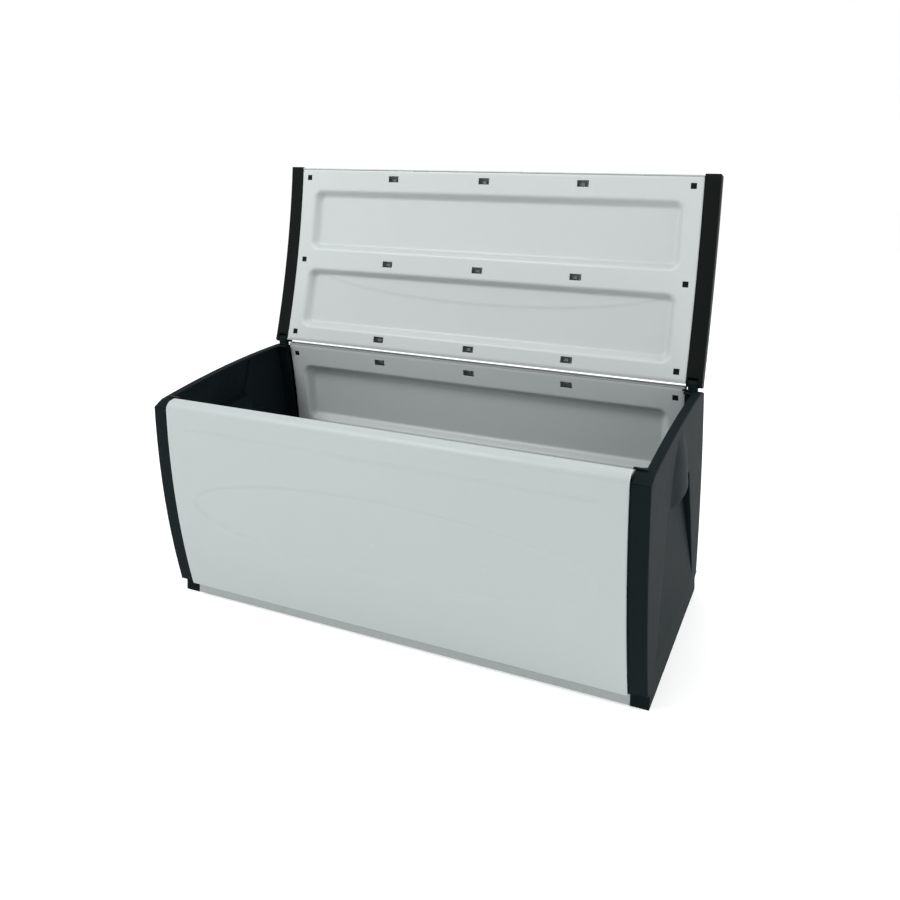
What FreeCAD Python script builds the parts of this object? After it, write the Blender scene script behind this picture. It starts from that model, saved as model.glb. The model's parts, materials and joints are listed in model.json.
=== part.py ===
import FreeCAD, Part
import math
import os
import Sketcher

# A resin deck storage box: two black end panels, grey hollow walls, a floor tray and a hinged lid.
# Millimetres. +X runs along the box, -Y is the front, +Z is up.
# The origin is on the ground at the middle of the footprint. The lid stands open on its stop.

DIMENSIONS = {
    # overall box
    "half_length": 600,
    "skin": 3,
    "gap": 0.5,
    "lap": 1,
    "through": 2000,
    # end panels
    "rim_width": 40,
    "end_reach": 270,
    "end_radius": 1900,
    "end_middle": 320,
    "end_bevel": 3,
    "rim_base": 40,
    "foot_reach": 235,
    "foot_neck": 229,
    "crease_height": 511,
    "shoulder_reach": 234,
    "shoulder_height": 522,
    "crown_radius": 3046,
    "post_depth": 34,
    "ledge_width": 20,
    "ledge_reach": 214,
    "flange": 5,
    "shelf_base": 36,
    "foot_inner": 8,
    # handle: finger scoop below a raised hood
    "lip_height": 378,
    "scoop_base": 66,
    "scoop_depth": 22,
    "scoop_top_half": 108,
    "scoop_base_half": 190,
    "hood_half": 76,
    "hood_rise": 14,
    "hood_root": 2,
    "hood_middle": 448,
    "hood_middle_half": 61,
    "hood_middle_rise": 9.2,
    "hood_top": 505,
    "hood_top_half": 23,
    "hood_top_rise": 1.4,
    "face_lap": 0.2,
    "grip_half": 62,
    "grip_height": 50,
    "grip_top_rise": 5.6,
    # hinge
    "hinge_reach": 236,
    "hinge_height": 538.5,
    "ear_start": 567,
    "ear_width": 22,
    "ear_radius": 9,
    "ear_back": 6.4,
    "pin_radius": 4,
    "pin_play": 0.08,
    "pin_head_radius": 6.5,
    "pin_head": 2.5,
    "heel": 10,
    "channel_base": 20,
    "clevis_top": 14,
    # front and back walls
    "wall_half": 559.5,
    "wall_reach": 274.5,
    "wall_radius": 1904.5,
    "wall_middle": 320,
    "wall_depth": 30,
    "wall_base": 36,
    "wall_top": 528,
    "wall_roll": 22,
    # lid, measured from the hinge axis with the lid standing upright
    "lid_half": 561.5,
    "lid_reach": 31.4,
    "lid_radius": 2362,
    "lid_middle": 240,
    "lid_depth": 28,
    "lid_base": -2,
    "lid_top": 487,
    "lid_roll": 8,
    "lid_lean": 18,
    "rail_start": 562,
    # liners: sheets with shallow pans, hooked behind each outer panel
    "liner_wall": 2.5,
    "liner_play": 0.3,
    "pan_half": 521,
    "pan_floor": 2.5,
    "slot_pitch": 267,
    "slot_half": 15,
    "slot_rise": 8,
    "hook_rise": 6,
    "hook_length": 18.75,
    "tab_place": 537.5,
    "tab_half": 7,
    "tongue_rise": 12,
    "tongue": 3,
    "tongue_end": 529,
    "tongue_root": 2,
    # clips that lock the liners to the corner posts
    "clip_start": 556,
    "clip_length": 28,
    "clip_reach": 218.5,
    "clip_width": 7,
    "clip_base": 524,
    "clip_height": 3,
    "clip_leg": 10,
    "clip_leg_width": 3.5,
    # floor tray
    "floor_top": 35.5,
    "floor_play": 1,
    "rib_base": 0,
    "rib": 3,
    "rib_pitch": 120,
}

RIBS = 9
SAME_PLACE = 0.01
ON_AXIS = 1e-9
SLOT_COLUMNS = (-1, 0, 1)
SIDES = (-1, 1)
# heights of the hook rows and of the two pans in each liner, from the bottom up
WALL = {
    "prefix": "wall",
    "rows": ("60", "270", "498"),
    "pans": (("84", "246"), ("296", "466")),
}
LID = {
    "prefix": "lid",
    "rows": ("24", "230", "461"),
    "pans": (("40", "208"), ("260", "429")),
}


def add_sheet(doc):
    sheet = doc.addObject("Spreadsheet::Sheet", "dims")
    for row, (name, value) in enumerate(DIMENSIONS.items(), start=1):
        sheet.set(f"A{row}", name)
        sheet.set(f"B{row}", str(value))
        sheet.setAlias(f"B{row}", name)
    doc.recompute()
    return sheet


def curve(prefix, inset, height):
    """Reach of a bowed surface at a height, moved inwards by the inset."""
    return (
        f"(dims.{prefix}_reach - dims.{prefix}_radius + sqrt((dims.{prefix}_radius - ({inset}))^2"
        f" - ({height} - dims.{prefix}_middle)^2))"
    )


def curve_radius(prefix, inset):
    return f"dims.{prefix}_radius - ({inset})"


def origin_plane(body, role):
    return next(item for item in body.Origin.OriginFeatures if item.Role == role)


def new_body(doc, label):
    body = doc.addObject("PartDesign::Body", label)
    body.Label = label
    return body


def new_sketch(body, name, role="YZ_Plane", offset=None):
    sketch = body.newObject("Sketcher::SketchObject", name)
    sketch.AttachmentSupport = (origin_plane(body, role), [""])
    sketch.MapMode = "FlatFace"
    if offset:
        sketch.setExpression("AttachmentOffset.Base.z", offset)
    return sketch


def bind(sketch, kind, reference, value, expression):
    index = sketch.addConstraint(Sketcher.Constraint(kind, *reference, value))
    sketch.setExpression(f"Constraints[{index}]", expression)


def arc_between(begin, end, radius, side, major):
    """Arc whose centre lies left (side 1) or right (side -1) of the travel direction."""
    half = (end - begin) / 2
    left = FreeCAD.Vector(-half.y, half.x, 0)
    left.normalize()
    left = left * side
    rise = math.sqrt(max(radius**2 - half.Length**2, 0))
    centre = begin + half + left * (-rise if major else rise)
    return Part.Arc(begin, centre - left * radius, end)


def draw_loop(sketch, corners, arcs=None):
    """Closed outline through the corners; arcs maps an edge number to (radius, side, major)."""
    arcs = arcs or {}
    points = [FreeCAD.Vector(sketch.evalExpression(x), sketch.evalExpression(y), 0) for x, y in corners]
    first = sketch.GeometryCount
    count = len(points)
    ends = []
    for edge, begin in enumerate(points):
        end = points[(edge + 1) % count]
        if edge in arcs:
            radius, side, major = arcs[edge]
            value = sketch.evalExpression(radius)
            sketch.addGeometry(arc_between(begin, end, value, side, major), False)
            bind(sketch, "Radius", (first + edge,), value, radius)
            ends.append((1, 2) if side > 0 else (2, 1))
        else:
            sketch.addGeometry(Part.LineSegment(begin, end), False)
            ends.append((1, 2))
    for edge in range(count):
        following = (edge + 1) % count
        joint = (first + edge, ends[edge][1], first + following, ends[following][0])
        sketch.addConstraint(Sketcher.Constraint("Coincident", *joint))
        point = (first + edge, ends[edge][0])
        for kind, axis, value, expression in (
            ("DistanceX", -2, points[edge].x, corners[edge][0]),
            ("DistanceY", -1, points[edge].y, corners[edge][1]),
        ):
            if abs(value) < ON_AXIS:
                sketch.addConstraint(Sketcher.Constraint("PointOnObject", *point, axis))
            else:
                bind(sketch, kind, (-1, 1, *point), value, expression)


def draw_box(sketch, left, right, bottom, top):
    draw_loop(sketch, [(left, bottom), (right, bottom), (right, top), (left, top)])


def draw_circle(sketch, x, y, radius):
    centre = FreeCAD.Vector(sketch.evalExpression(x), sketch.evalExpression(y), 0)
    value = sketch.evalExpression(radius)
    index = sketch.addGeometry(Part.Circle(centre, FreeCAD.Vector(0, 0, 1), value), False)
    bind(sketch, "Radius", (index,), value, radius)
    for kind, axis, place, expression in (("DistanceX", -2, centre.x, x), ("DistanceY", -1, centre.y, y)):
        if abs(place) < ON_AXIS:
            sketch.addConstraint(Sketcher.Constraint("PointOnObject", index, 3, axis))
        else:
            bind(sketch, kind, (-1, 1, index, 3), place, expression)


def grow(body, name, sketch, length, symmetric=False, backwards=False):
    pad = body.newObject("PartDesign::Pad", name)
    pad.Profile = (sketch, [""])
    pad.SideType = "Symmetric" if symmetric else "One side"
    pad.Reversed = backwards
    pad.setExpression("Length", length)
    body.Document.recompute()
    return pad


def carve(body, name, sketch, length, symmetric=False, forwards=False):
    """Pocket that must take material away; forwards cuts along the sketch's own normal."""
    before = body.Shape.Volume
    pocket = body.newObject("PartDesign::Pocket", name)
    pocket.Profile = (sketch, [""])
    pocket.SideType = "Symmetric" if symmetric else "One side"
    pocket.Reversed = forwards
    pocket.setExpression("Length", length)
    body.Document.recompute()
    if not body.Shape.Volume < before - 1:
        raise RuntimeError(f"{body.Label}: {name} cut nothing")
    return pocket


def loft(body, kind, name, sketches):
    before = body.Shape.Volume
    feature = body.newObject(f"PartDesign::{kind}Loft", name)
    feature.Profile = (sketches[0], [""])
    feature.Sections = [(sketch, [""]) for sketch in sketches[1:]]
    feature.Ruled = len(sketches) == 2
    body.Document.recompute()
    if abs(body.Shape.Volume - before) < 1:
        raise RuntimeError(f"{body.Label}: {name} changed nothing")
    return feature


def bevel_edges(body, name, size, keep):
    """Chamfer on the tip's edges that the keep test accepts."""
    tip = body.Tip
    names = [f"Edge{number}" for number, edge in enumerate(tip.Shape.Edges, start=1) if keep(edge)]
    chamfer = body.newObject("PartDesign::Chamfer", name)
    chamfer.Base = (tip, names)
    chamfer.setExpression("Size", size)
    body.Document.recompute()
    return chamfer


def mirrored(doc, label, source, normal):
    twin = doc.addObject("Part::Mirroring", label)
    twin.Label = label
    twin.Source = source
    twin.Normal = FreeCAD.Vector(*normal)
    doc.recompute()
    return twin


def lies_at_x(edge, place, above=0):
    """True for an edge in the plane at this X that keeps above the given height."""
    flat = all(abs(vertex.X - place) < SAME_PLACE for vertex in edge.Vertexes)
    return flat and edge.CenterOfMass.z > above


# ---------------------------------------------------------------- end panels


def end_outline(sketch):
    """Side view of an end panel: narrower foot, bowed sides, shoulders and a crowned top."""
    base, crease = "dims.rim_base", "dims.crease_height"
    side = [
        ("dims.foot_reach", "0"),
        ("dims.foot_neck", base),
        (curve("end", 0, base), base),
        (curve("end", 0, crease), crease),
        ("dims.shoulder_reach", "dims.shoulder_height"),
    ]
    far_side = [(f"-{x}", y) for x, y in reversed(side)]
    bow = curve_radius("end", 0)
    arcs = {2: (bow, 1, False), 4: ("dims.crown_radius", 1, False), 6: (bow, 1, False)}
    draw_loop(sketch, side + far_side, arcs)


def end_hollows(body):
    """Opens the inner side, leaving a skin, a top flange, a shelf and two corner posts."""
    inner = "dims.half_length - dims.rim_width"
    depth = "dims.rim_width - dims.skin"
    base = "dims.shelf_base + dims.skin"
    top = "dims.shoulder_height - dims.flange"
    inside = new_sketch(body, "inside_outline", offset=inner)
    wide = [(curve("end", "dims.post_depth", base), base), (curve("end", "dims.post_depth", top), top)]
    bow = curve_radius("end", "dims.post_depth")
    draw_loop(
        inside,
        wide + [(f"-{x}", y) for x, y in reversed(wide)],
        {0: (bow, 1, False), 1: ("dims.crown_radius", 1, False), 2: (bow, 1, False)},
    )
    carve(body, "inside", inside, depth, forwards=True)
    ledge = new_sketch(body, "ledge_outline", offset=inner)
    draw_box(ledge, "-dims.ledge_reach", "dims.ledge_reach", top, f"{top} + dims.rim_width")
    carve(body, "ledge", ledge, "dims.rim_width - dims.ledge_width", forwards=True)
    posts = new_sketch(body, "post_outline", offset=inner)
    low, high = "dims.rim_base + dims.skin", "dims.crease_height - 2 * dims.skin"
    near, far = "dims.skin", "dims.post_depth - dims.skin"
    channel = [(curve("end", far, low), low), (curve("end", near, low), low)]
    channel += [(curve("end", near, high), high), (curve("end", far, high), high)]
    outer_bow, inner_bow = curve_radius("end", near), curve_radius("end", far)
    draw_loop(posts, channel, {1: (outer_bow, 1, False), 3: (inner_bow, -1, False)})
    far_channel = [(f"-{x}", y) for x, y in channel]
    draw_loop(posts, far_channel, {1: (outer_bow, -1, False), 3: (inner_bow, 1, False)})
    carve(body, "posts", posts, depth, forwards=True)
    below = new_sketch(body, "foot_outline", "XY_Plane")
    reach = "dims.foot_neck - dims.skin"
    draw_box(below, f"{inner} + dims.skin", "dims.half_length - dims.foot_inner", f"-({reach})", reach)
    carve(body, "foot_hollow", below, "dims.shelf_base", forwards=True)


def level_sketch(body, name, height):
    return new_sketch(body, name, "XY_Plane", height)


def bow_section(body, name, height, half, rise, root):
    """Flat-backed bow across the handle at one height."""
    sketch = level_sketch(body, name, height)
    radius = f"(({half})^2 + ({rise})^2) / (2 * ({rise}))"
    front = "dims.half_length - dims.face_lap"
    corners = [(root, f"-({half})"), (front, f"-({half})"), (front, half), (root, half)]
    draw_loop(sketch, corners, {1: (radius, 1, False)})
    return sketch


def end_handle(body):
    """Hood with a finger pocket behind its lip, above a scoop that fades out downwards."""
    face, lip, base = "dims.half_length", "dims.lip_height", "dims.scoop_base"
    back = f"{face} - dims.scoop_depth"
    front = f"{face} - dims.lap"
    clear = f"{face} + dims.rim_width"
    low = level_sketch(body, "bulge_low", f"{base} - dims.skin")
    wide = "dims.scoop_base_half + dims.skin"
    draw_box(low, f"{face} - dims.skin - dims.gap", front, f"-({wide})", wide)
    high = level_sketch(body, "bulge_high", f"{lip} + dims.skin")
    narrow = "dims.scoop_top_half + dims.skin"
    draw_box(high, f"{back} - dims.skin", front, f"-({narrow})", narrow)
    loft(body, "Additive", "bulge", [low, high])
    box = level_sketch(body, "grip_box_outline", f"{lip} - dims.skin")
    thick = "dims.grip_half + dims.skin"
    draw_box(box, f"{back} - dims.skin", front, f"-({thick})", thick)
    grow(body, "grip_box", box, "dims.grip_height + 2 * dims.skin")
    hood = [
        (lip, "dims.hood_half", "dims.hood_rise"),
        ("dims.hood_middle", "dims.hood_middle_half", "dims.hood_middle_rise"),
        ("dims.hood_top", "dims.hood_top_half", "dims.hood_top_rise"),
    ]
    root = f"{face} - dims.hood_root"
    sections = [bow_section(body, f"hood_{number}", *level, root) for number, level in enumerate(hood)]
    loft(body, "Additive", "hood", sections)
    scoop_low = level_sketch(body, "scoop_low", base)
    half = "dims.scoop_base_half"
    draw_box(scoop_low, f"{face} - dims.face_lap", clear, f"-{half}", half)
    scoop_high = level_sketch(body, "scoop_high", lip)
    half = "dims.scoop_top_half"
    draw_box(scoop_high, back, clear, f"-{half}", half)
    loft(body, "Subtractive", "scoop", [scoop_low, scoop_high])
    grip = [
        (f"{lip} - dims.lap", "dims.grip_half", "dims.hood_rise - dims.skin"),
        (f"{lip} + dims.grip_height", "dims.grip_half - dims.skin", "dims.grip_top_rise"),
    ]
    sections = [bow_section(body, f"grip_{number}", *level, back) for number, level in enumerate(grip)]
    loft(body, "Subtractive", "grip", sections)


def clip_slots(body):
    """Slots in the post tops that take the legs of the corner clips."""
    slots = new_sketch(body, "clip_slot_outline", "XY_Plane", "dims.clip_base")
    left = "dims.clip_start + dims.clip_leg - dims.gap"
    right = "dims.clip_start + 2 * dims.clip_leg + dims.gap"
    middle = "dims.clip_reach + dims.clip_width / 2"
    near = f"{middle} - dims.clip_leg_width / 2 - dims.gap"
    far = f"{middle} + dims.clip_leg_width / 2 + dims.gap"
    draw_box(slots, left, right, near, far)
    draw_box(slots, left, right, f"-({far})", f"-({near})")
    carve(body, "clip_slots", slots, "dims.clip_leg")


def end_hinge_ear(body):
    """Upright ear on the rear post that carries the hinge pin and stops the open lid."""
    ear = new_sketch(body, "ear_outline", offset="dims.ear_start")
    root = "dims.shoulder_height - 3 * dims.flange"
    front = "dims.hinge_reach - dims.ear_radius"
    back = "dims.hinge_reach + dims.ear_back"
    meet = "dims.hinge_height - sqrt(dims.ear_radius^2 - dims.ear_back^2)"
    draw_loop(
        ear,
        [(front, root), (back, root), (back, meet), (front, "dims.hinge_height")],
        {2: ("dims.ear_radius", 1, True)},
    )
    grow(body, "ear", ear, "dims.ear_width")
    bore = new_sketch(body, "bore_outline", offset="dims.ear_start - dims.lap")
    draw_circle(bore, "dims.hinge_reach", "dims.hinge_height", "dims.pin_radius + dims.pin_play")
    carve(body, "bore", bore, "dims.ear_width + 2 * dims.lap", forwards=True)


def tongue_profile(sketch, shape, near, far, rise, outward=(1,)):
    """Bowed strip between two insets around each hook row of a wall or lid."""
    prefix = shape["prefix"]
    for row in shape["rows"]:
        low, high = f"({row} - {rise})", f"({row} + {rise})"
        for side in outward:
            sign = "" if side > 0 else "-"
            corners = [(curve(prefix, far, low), low), (curve(prefix, near, low), low)]
            corners += [(curve(prefix, near, high), high), (curve(prefix, far, high), high)]
            draw_loop(sketch, [(f"{sign}{x}", y) for x, y in corners])


def tongues(body, shape, end, outward):
    """Tongues that plug into the hollow panel, with square snaps that fill the liner's windows."""
    depth = f"dims.{shape['prefix']}_depth"
    near = f"{depth} - dims.liner_wall - dims.liner_play - dims.tongue"
    far = f"{depth} - dims.liner_wall - dims.liner_play"
    blade = new_sketch(body, "tongue_outline", offset="dims.tongue_end")
    tongue_profile(blade, shape, near, far, "dims.tongue_rise", outward)
    grow(body, "tongue_blades", blade, f"{end} - dims.tongue_end")
    snap = new_sketch(body, "snap_outline", offset="dims.tab_place - dims.tab_half + dims.liner_play")
    half = "(dims.tab_half - dims.liner_play)"
    tongue_profile(snap, shape, f"{near} + dims.lap", f"{depth} - dims.gap", half, outward)
    grow(body, "snaps", snap, f"2 * {half}")


def make_end_panel(doc):
    body = new_body(doc, "right_end_panel")
    outline = new_sketch(body, "end_outline", offset="dims.half_length - dims.rim_width")
    end_outline(outline)
    grow(body, "slab", outline, "dims.rim_width")
    outer = DIMENSIONS["half_length"]
    above = DIMENSIONS["rim_base"] + DIMENSIONS["lap"]
    bevel_edges(body, "outer_bevel", "dims.end_bevel", lambda edge: lies_at_x(edge, outer, above))
    end_hollows(body)
    clip_slots(body)
    end_handle(body)
    tongues(body, WALL, "dims.half_length - dims.tongue_root", SIDES)
    end_hinge_ear(body)
    return body


# ---------------------------------------------------------------- hollow panels


def skin_section(sketch, prefix, roll):
    """Bowed skin with an inward lip at the bottom and a rolled lip at the top."""
    depth = f"dims.{prefix}_depth"
    low, high = f"dims.{prefix}_base", f"dims.{prefix}_top"
    start = f"({high} - {roll})"
    crest = curve(prefix, 0, start)
    corners = [
        (curve(prefix, depth, low), low),
        (curve(prefix, 0, low), low),
        (crest, start),
        (f"{crest} - {roll}", high),
        (curve(prefix, depth, high), high),
        (curve(prefix, depth, high), f"{high} - dims.skin"),
        (f"{crest} - {roll}", f"{high} - dims.skin"),
        (f"{crest} - dims.skin", start),
        (curve(prefix, "dims.skin", f"({low} + dims.skin)"), f"{low} + dims.skin"),
        (curve(prefix, depth, low), f"{low} + dims.skin"),
    ]
    arcs = {
        1: (curve_radius(prefix, 0), 1, False),
        2: (roll, 1, False),
        6: (f"{roll} - dims.skin", -1, False),
        7: (curve_radius(prefix, "dims.skin"), -1, False),
    }
    draw_loop(sketch, corners, arcs)


def hooks(body, shape):
    """Hooks moulded on the inside of the skin, one behind each slot of the liner."""
    prefix = shape["prefix"]
    for number, column in enumerate(SLOT_COLUMNS):
        start = f"{column} * dims.slot_pitch - dims.slot_half + dims.lap"
        sketch = new_sketch(body, f"hook_outline_{number}", offset=start)
        inner = f"dims.{prefix}_depth - dims.lap"
        tongue_profile(sketch, shape, "dims.skin - dims.lap", inner, "dims.hook_rise")
        grow(body, f"hooks_{number}", sketch, "dims.hook_length")


def make_skin(doc, label, shape):
    prefix = shape["prefix"]
    body = new_body(doc, label)
    section = new_sketch(body, "skin_section")
    skin_section(section, prefix, f"dims.{prefix}_roll")
    grow(body, "skin_sheet", section, f"2 * dims.{prefix}_half", symmetric=True)
    hooks(body, shape)
    return body


def bowed_strip(sketch, prefix, near, far, low, high):
    """Closed strip between two insets of a bowed surface."""
    corners = [(curve(prefix, far, low), low), (curve(prefix, near, low), low)]
    corners += [(curve(prefix, near, high), high), (curve(prefix, far, high), high)]
    arcs = {1: (curve_radius(prefix, near), 1, False), 3: (curve_radius(prefix, far), -1, False)}
    draw_loop(sketch, corners, arcs)


def make_liner(doc, label, shape):
    prefix = shape["prefix"]
    depth = f"dims.{prefix}_depth"
    low = f"(dims.{prefix}_base + dims.skin + dims.liner_play)"
    high = f"(dims.{prefix}_top - dims.skin - dims.liner_play)"
    wall_face = f"{depth} - dims.liner_wall"
    floor_face = "dims.skin + dims.liner_play + dims.pan_floor"
    body = new_body(doc, label)
    section = new_sketch(body, "liner_section")
    bowed_strip(section, prefix, "dims.skin + dims.liner_play", depth, low, high)
    grow(body, "liner_block", section, f"2 * (dims.{prefix}_half - dims.liner_play)", symmetric=True)
    pans = new_sketch(body, "pan_section")
    for bottom, top in shape["pans"]:
        bowed_strip(pans, prefix, floor_face, f"{depth} + dims.skin", bottom, top)
    carve(body, "pans", pans, "2 * dims.pan_half", symmetric=True)
    under, over = f"({low} - dims.lap)", f"({high} + dims.lap)"
    bands = new_sketch(body, "band_section")
    edges = [low, *(height for pan in shape["pans"] for height in pan), high]
    for number in range(0, len(edges), 2):
        bottom = f"({edges[number]} + dims.liner_wall)" if number else under
        top = f"({edges[number + 1]} - dims.liner_wall)" if number < len(edges) - 2 else over
        bowed_strip(bands, prefix, "-dims.skin", wall_face, bottom, top)
    carve(body, "bands", bands, "dims.through", symmetric=True)
    for side in SIDES:
        start = f"{side} * (dims.pan_half + dims.liner_wall)"
        ends = new_sketch(body, f"end_section_{side + 1}", offset=start)
        bowed_strip(ends, prefix, "-dims.skin", wall_face, under, over)
        carve(body, f"ends_{side + 1}", ends, "dims.through", forwards=side > 0)
    openings = new_sketch(body, "slot_outline", "XZ_Plane")
    for row in shape["rows"]:
        bottom, top = f"{row} - dims.slot_rise", f"{row} + dims.slot_rise"
        for column in SLOT_COLUMNS:
            centre = f"{column} * dims.slot_pitch"
            draw_box(openings, f"{centre} - dims.slot_half", f"{centre} + dims.slot_half", bottom, top)
        for side in SIDES:
            centre, half = f"{side} * dims.tab_place", "dims.tab_half"
            left, right = f"{centre} - {half}", f"{centre} + {half}"
            draw_box(openings, left, right, f"{row} - {half}", f"{row} + {half}")
    carve(body, "slots", openings, "dims.through", symmetric=True)
    return body


# ---------------------------------------------------------------- floor


def make_floor(doc):
    """Tray whose skirts show as the plinth under the front and back walls."""
    body = new_body(doc, "floor_panel")
    section = new_sketch(body, "tray_section")
    top, skin, base = "dims.floor_top", "dims.skin", "dims.floor_play"
    outer = [("dims.foot_reach", base), ("dims.foot_neck", top)]
    inner = [("dims.foot_reach - dims.skin", base), ("dims.foot_neck - dims.skin", f"{top} - {skin}")]
    corners = outer + [(f"-({x})", y) for x, y in reversed(outer)]
    corners += [(f"-({x})", y) for x, y in inner] + list(reversed(inner))
    draw_loop(section, corners)
    grow(body, "tray", section, "2 * dims.wall_half", symmetric=True)
    rib = new_sketch(body, "rib_section", offset=f"-(dims.rib_pitch * {RIBS // 2}) - dims.rib / 2")
    reach = "(dims.foot_neck - dims.lap)"
    draw_box(rib, f"-{reach}", reach, "dims.rib_base", f"{top} - dims.lap")
    first = grow(body, "rib", rib, "dims.rib")
    pattern = body.newObject("PartDesign::LinearPattern", "ribs")
    pattern.Originals = [first]
    pattern.Direction = (rib, ["N_Axis"])
    pattern.Occurrences = RIBS
    pattern.setExpression("Length", f"dims.rib_pitch * {RIBS - 1}")
    body.Tip = pattern
    doc.recompute()
    return body


# ---------------------------------------------------------------- lid rails and pins


def make_rail(doc):
    """Hollow side rail of the lid, with a clevis at its heel and tongues along its length."""
    body = new_body(doc, "right_lid_rail")
    depth, top = "dims.lid_depth", "(dims.lid_top + dims.skin)"
    heel = curve("lid", depth, "0")
    outline = new_sketch(body, "rail_outline", offset="dims.rail_start")
    draw_loop(
        outline,
        [
            ("0", heel),
            (curve("lid", 0, heel), heel),
            (curve("lid", 0, top), top),
            (curve("lid", depth, top), top),
            (heel, "0"),
        ],
        {
            1: (curve_radius("lid", 0), 1, False),
            3: (curve_radius("lid", depth), -1, False),
            4: (f"-{heel}", 1, False),
        },
    )
    grow(body, "rail_bar", outline, "dims.half_length - dims.rail_start")
    outer, above = DIMENSIONS["half_length"], DIMENSIONS["channel_base"]
    bevel_edges(body, "outer_bevel", "dims.skin / 2", lambda edge: lies_at_x(edge, outer, above))
    channel = new_sketch(body, "channel_outline", offset="dims.rail_start")
    far = f"{depth} - dims.skin"
    bowed_strip(channel, "lid", "dims.skin", far, "dims.channel_base", f"({top} - dims.skin)")
    carve(body, "channel", channel, "dims.half_length - dims.rail_start - dims.skin", forwards=True)
    clevis = new_sketch(body, "clevis_outline", offset="dims.ear_start - dims.lap")
    draw_box(clevis, "-2 * dims.heel", "dims.heel + dims.gap", "-2 * dims.heel", "dims.clevis_top")
    carve(body, "clevis", clevis, "dims.ear_width + 2 * dims.lap", forwards=True)
    bore = new_sketch(body, "pin_outline", offset="dims.rail_start")
    draw_circle(bore, "0", "0", "dims.pin_radius")
    carve(body, "pin_bore", bore, "dims.rim_width", forwards=True)
    sink = new_sketch(body, "sink_outline", offset="dims.half_length")
    draw_circle(sink, "0", "0", "dims.pin_head_radius + dims.liner_play")
    carve(body, "pin_sink", sink, "dims.pin_head + dims.gap")
    tongues(body, LID, "dims.half_length - dims.tongue_root", (1,))
    stand_open(body)
    return body


def stand_open(item):
    """Stands a lid piece on the hinge axis, leaning back by the open angle."""
    item.Placement = FreeCAD.Placement(FreeCAD.Vector(), FreeCAD.Rotation(FreeCAD.Vector(-1, 0, 0), 1))
    item.setExpression("Placement.Base.y", "dims.hinge_reach")
    item.setExpression("Placement.Base.z", "dims.hinge_height")
    item.setExpression("Placement.Rotation.Angle", "dims.lid_lean")
    item.Document.recompute()


def make_pin(doc):
    """Hinge pin with a flat head, pressed into the rail's two cheeks."""
    shank = doc.addObject("Part::Cylinder", "pin_shank")
    shank.setExpression("Radius", "dims.pin_radius")
    shank.setExpression("Height", "dims.half_length - dims.gap - dims.rail_start - dims.gap")
    head = doc.addObject("Part::Cylinder", "pin_head_disc")
    head.setExpression("Radius", "dims.pin_head_radius")
    head.setExpression("Height", "dims.pin_head")
    starts = ((shank, "dims.rail_start + dims.gap"), (head, "dims.half_length - dims.gap - dims.pin_head"))
    along_x = FreeCAD.Rotation(FreeCAD.Vector(0, 1, 0), 90)
    for cylinder, start in starts:
        cylinder.Placement = FreeCAD.Placement(FreeCAD.Vector(), along_x)
        cylinder.setExpression("Placement.Base.x", start)
        cylinder.setExpression("Placement.Base.y", "dims.hinge_reach")
        cylinder.setExpression("Placement.Base.z", "dims.hinge_height")
    pin = doc.addObject("Part::MultiFuse", "right_hinge_pin")
    pin.Shapes = [shank, head]
    pin.Label = "right_hinge_pin"
    doc.recompute()
    return pin


def boxed(doc, name, sizes, corner):
    """Part::Box whose three sizes and corner are expressions."""
    box = doc.addObject("Part::Box", name)
    for prop, size in zip(("Length", "Width", "Height"), sizes):
        box.setExpression(prop, size)
    for axis, place in zip("xyz", corner):
        box.setExpression(f"Placement.Base.{axis}", place)
    return box


def make_corner_clips(doc):
    """Four flat clips, each with a leg through the top of a corner post."""
    plate = boxed(
        doc,
        "clip_plate",
        ("dims.clip_length", "dims.clip_width", "dims.clip_height"),
        ("dims.clip_start", "dims.clip_reach", "dims.clip_base"),
    )
    leg = boxed(
        doc,
        "clip_leg",
        ("dims.clip_leg", "dims.clip_leg_width", "dims.clip_leg + dims.lap"),
        (
            "dims.clip_start + dims.clip_leg",
            "dims.clip_reach + (dims.clip_width - dims.clip_leg_width) / 2",
            "dims.clip_base - dims.clip_leg",
        ),
    )
    clip = doc.addObject("Part::MultiFuse", "back_right_clip")
    clip.Shapes = [plate, leg]
    doc.recompute()
    pair = [clip, mirrored(doc, "back_left_clip", clip, (1, 0, 0))]
    front = [mirrored(doc, f"front_clip_{number}", item, (0, 1, 0)) for number, item in enumerate(pair)]
    clips = doc.addObject("Part::Compound", "corner_clips")
    clips.Links = pair + front
    clips.Label = "corner_clips"
    doc.recompute()
    return clips


# ---------------------------------------------------------------- assembly


def check(doc, nodes):
    for item in doc.Objects:
        if "Invalid" in item.State or "Error" in item.State:
            raise RuntimeError(f"{item.Label} failed: {item.State}")
    for node in nodes:
        if node.Shape.isNull() or not node.Shape.isValid():
            raise RuntimeError(f"{node.Label} has no valid shape")
        box = node.Shape.BoundBox
        litres = node.Shape.Volume / 1e6
        reach = f"x {box.XMin:.1f} {box.XMax:.1f}  y {box.YMin:.1f} {box.YMax:.1f}"
        print(f"{node.Label:18s} litres {litres:.3f}  {reach}  z {box.ZMin:.1f} {box.ZMax:.1f}")


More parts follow.
